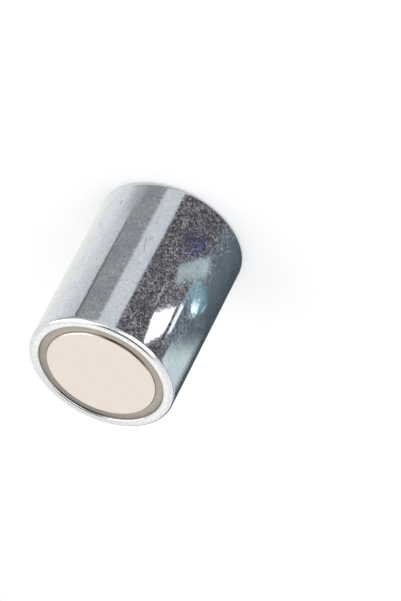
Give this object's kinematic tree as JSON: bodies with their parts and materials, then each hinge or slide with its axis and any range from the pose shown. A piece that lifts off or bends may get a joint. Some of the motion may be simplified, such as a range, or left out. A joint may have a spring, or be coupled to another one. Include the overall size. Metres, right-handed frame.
{
  "type": "pot magnet",
  "caption": "Deep round pot magnet: a zinc-plated steel cup, smooth outside, with a nickel-plated magnet set flush with its rim and a cast ring between them.",
  "frame": {"origin": "centre of the closed end, the flat face the part stands on", "axes": "+Z along the cup's axis, from the closed end to the magnetic face"},
  "size_m": [0.02, 0.02, 0.025],
  "materials": {
    "zinc_plated_steel": "turned steel with bright blue-white zinc plating, fine scratches",
    "nickel_plated_magnet": "satin nickel plating, warm",
    "cast_resin": "smooth semi-gloss cast resin, taupe grey"
  },
  "bodies": {
    "root": {"steel_pot": "zinc_plated_steel", "magnet_core": "nickel_plated_magnet", "filler_ring": "cast_resin"}
  },
  "joints": []
}
